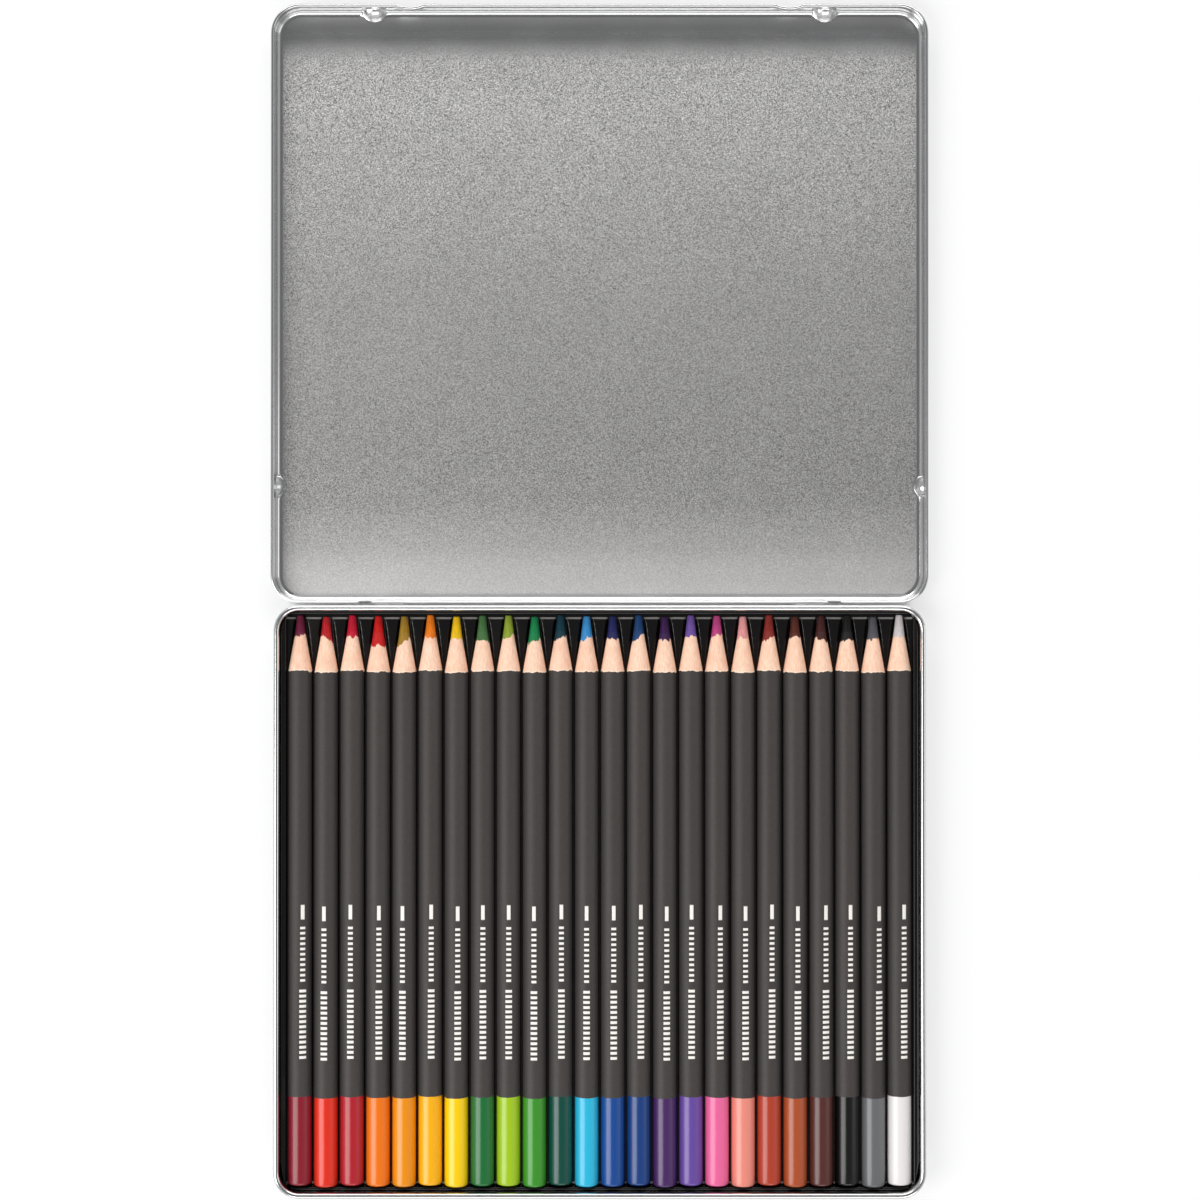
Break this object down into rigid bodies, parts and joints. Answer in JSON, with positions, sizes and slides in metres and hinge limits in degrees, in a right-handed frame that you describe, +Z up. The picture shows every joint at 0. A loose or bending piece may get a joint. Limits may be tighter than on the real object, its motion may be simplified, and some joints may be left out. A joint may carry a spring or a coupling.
{
  "type": "colored pencil tin",
  "caption": "Flat hinged tinplate box with rolled rims, lying open, with a moulded tray that holds a row of round sharpened colored pencils with dipped ends.",
  "frame": {"origin": "middle of the base pan's underside, on the surface that the tin rests on", "axes": "+X to the right along the row of pencils, +Y from the base towards the open lid and the writing tips, +Z up out of the open tin"},
  "size_m": [0.2018, 0.3659, 0.0098],
  "materials": {
    "base_tinplate": "bright tinplate, smooth rolled rim",
    "lid_tinplate": "matt grainy tinplate inside, bright rolled rim",
    "tray_plastic": "thin moulded sheet, glossy",
    "pencil_wood": "round wooden pencil in satin dark grey lacquer, bare cut cone at the point, glossy dipped end in the pencil's own color",
    "core_01": "waxy pigment core, dark red",
    "core_02": "waxy pigment core, orange red",
    "core_03": "waxy pigment core, crimson",
    "core_04": "waxy pigment core, orange",
    "core_05": "waxy pigment core, amber",
    "core_06": "waxy pigment core, golden yellow",
    "core_07": "waxy pigment core, yellow",
    "core_08": "waxy pigment core, forest green",
    "core_09": "waxy pigment core, lime",
    "core_10": "waxy pigment core, leaf green",
    "core_11": "waxy pigment core, dark teal",
    "core_12": "waxy pigment core, sky blue",
    "core_13": "waxy pigment core, blue",
    "core_14": "waxy pigment core, deep blue",
    "core_15": "waxy pigment core, purple",
    "core_16": "waxy pigment core, violet",
    "core_17": "waxy pigment core, pink",
    "core_18": "waxy pigment core, salmon",
    "core_19": "waxy pigment core, brick",
    "core_20": "waxy pigment core, rust",
    "core_21": "waxy pigment core, dark brown",
    "core_22": "waxy pigment core, black",
    "core_23": "waxy pigment core, grey",
    "core_24": "waxy pigment core, white"
  },
  "bodies": {
    "base": {"base_pan": "base_tinplate", "tray": "tray_plastic"},
    "lid": {"lid": "lid_tinplate"},
    "pencil_01": {"pencil_01_casing": "pencil_wood", "pencil_01_core": "core_01"},
    "pencil_02": {"pencil_02_casing": "pencil_wood", "pencil_02_core": "core_02"},
    "pencil_03": {"pencil_03_casing": "pencil_wood", "pencil_03_core": "core_03"},
    "pencil_04": {"pencil_04_casing": "pencil_wood", "pencil_04_core": "core_04"},
    "pencil_05": {"pencil_05_casing": "pencil_wood", "pencil_05_core": "core_05"},
    "pencil_06": {"pencil_06_casing": "pencil_wood", "pencil_06_core": "core_06"},
    "pencil_07": {"pencil_07_casing": "pencil_wood", "pencil_07_core": "core_07"},
    "pencil_08": {"pencil_08_casing": "pencil_wood", "pencil_08_core": "core_08"},
    "pencil_09": {"pencil_09_casing": "pencil_wood", "pencil_09_core": "core_09"},
    "pencil_10": {"pencil_10_casing": "pencil_wood", "pencil_10_core": "core_10"},
    "pencil_11": {"pencil_11_casing": "pencil_wood", "pencil_11_core": "core_11"},
    "pencil_12": {"pencil_12_casing": "pencil_wood", "pencil_12_core": "core_12"},
    "pencil_13": {"pencil_13_casing": "pencil_wood", "pencil_13_core": "core_13"},
    "pencil_14": {"pencil_14_casing": "pencil_wood", "pencil_14_core": "core_14"},
    "pencil_15": {"pencil_15_casing": "pencil_wood", "pencil_15_core": "core_15"},
    "pencil_16": {"pencil_16_casing": "pencil_wood", "pencil_16_core": "core_16"},
    "pencil_17": {"pencil_17_casing": "pencil_wood", "pencil_17_core": "core_17"},
    "pencil_18": {"pencil_18_casing": "pencil_wood", "pencil_18_core": "core_18"},
    "pencil_19": {"pencil_19_casing": "pencil_wood", "pencil_19_core": "core_19"},
    "pencil_20": {"pencil_20_casing": "pencil_wood", "pencil_20_core": "core_20"},
    "pencil_21": {"pencil_21_casing": "pencil_wood", "pencil_21_core": "core_21"},
    "pencil_22": {"pencil_22_casing": "pencil_wood", "pencil_22_core": "core_22"},
    "pencil_23": {"pencil_23_casing": "pencil_wood", "pencil_23_core": "core_23"},
    "pencil_24": {"pencil_24_casing": "pencil_wood", "pencil_24_core": "core_24"}
  },
  "joints": [
    {"name": "lid_hinge", "type": "hinge", "parent": "base", "child": "lid", "pos_m": [0, 0.09133, 0.0065], "axis": [1, 0, 0], "range_deg": [0, 180]},
    {"name": "pencil_01_lift", "type": "slide", "parent": "base", "child": "pencil_01", "axis": [0, 0, 1], "range_m": [0, 0.03]},
    {"name": "pencil_02_lift", "type": "slide", "parent": "base", "child": "pencil_02", "axis": [0, 0, 1], "range_m": [0, 0.03]},
    {"name": "pencil_03_lift", "type": "slide", "parent": "base", "child": "pencil_03", "axis": [0, 0, 1], "range_m": [0, 0.03]},
    {"name": "pencil_04_lift", "type": "slide", "parent": "base", "child": "pencil_04", "axis": [0, 0, 1], "range_m": [0, 0.03]},
    {"name": "pencil_05_lift", "type": "slide", "parent": "base", "child": "pencil_05", "axis": [0, 0, 1], "range_m": [0, 0.03]},
    {"name": "pencil_06_lift", "type": "slide", "parent": "base", "child": "pencil_06", "axis": [0, 0, 1], "range_m": [0, 0.03]},
    {"name": "pencil_07_lift", "type": "slide", "parent": "base", "child": "pencil_07", "axis": [0, 0, 1], "range_m": [0, 0.03]},
    {"name": "pencil_08_lift", "type": "slide", "parent": "base", "child": "pencil_08", "axis": [0, 0, 1], "range_m": [0, 0.03]},
    {"name": "pencil_09_lift", "type": "slide", "parent": "base", "child": "pencil_09", "axis": [0, 0, 1], "range_m": [0, 0.03]},
    {"name": "pencil_10_lift", "type": "slide", "parent": "base", "child": "pencil_10", "axis": [0, 0, 1], "range_m": [0, 0.03]},
    {"name": "pencil_11_lift", "type": "slide", "parent": "base", "child": "pencil_11", "axis": [0, 0, 1], "range_m": [0, 0.03]},
    {"name": "pencil_12_lift", "type": "slide", "parent": "base", "child": "pencil_12", "axis": [0, 0, 1], "range_m": [0, 0.03]},
    {"name": "pencil_13_lift", "type": "slide", "parent": "base", "child": "pencil_13", "axis": [0, 0, 1], "range_m": [0, 0.03]},
    {"name": "pencil_14_lift", "type": "slide", "parent": "base", "child": "pencil_14", "axis": [0, 0, 1], "range_m": [0, 0.03]},
    {"name": "pencil_15_lift", "type": "slide", "parent": "base", "child": "pencil_15", "axis": [0, 0, 1], "range_m": [0, 0.03]},
    {"name": "pencil_16_lift", "type": "slide", "parent": "base", "child": "pencil_16", "axis": [0, 0, 1], "range_m": [0, 0.03]},
    {"name": "pencil_17_lift", "type": "slide", "parent": "base", "child": "pencil_17", "axis": [0, 0, 1], "range_m": [0, 0.03]},
    {"name": "pencil_18_lift", "type": "slide", "parent": "base", "child": "pencil_18", "axis": [0, 0, 1], "range_m": [0, 0.03]},
    {"name": "pencil_19_lift", "type": "slide", "parent": "base", "child": "pencil_19", "axis": [0, 0, 1], "range_m": [0, 0.03]},
    {"name": "pencil_20_lift", "type": "slide", "parent": "base", "child": "pencil_20", "axis": [0, 0, 1], "range_m": [0, 0.03]},
    {"name": "pencil_21_lift", "type": "slide", "parent": "base", "child": "pencil_21", "axis": [0, 0, 1], "range_m": [0, 0.03]},
    {"name": "pencil_22_lift", "type": "slide", "parent": "base", "child": "pencil_22", "axis": [0, 0, 1], "range_m": [0, 0.03]},
    {"name": "pencil_23_lift", "type": "slide", "parent": "base", "child": "pencil_23", "axis": [0, 0, 1], "range_m": [0, 0.03]},
    {"name": "pencil_24_lift", "type": "slide", "parent": "base", "child": "pencil_24", "axis": [0, 0, 1], "range_m": [0, 0.03]}
  ]
}
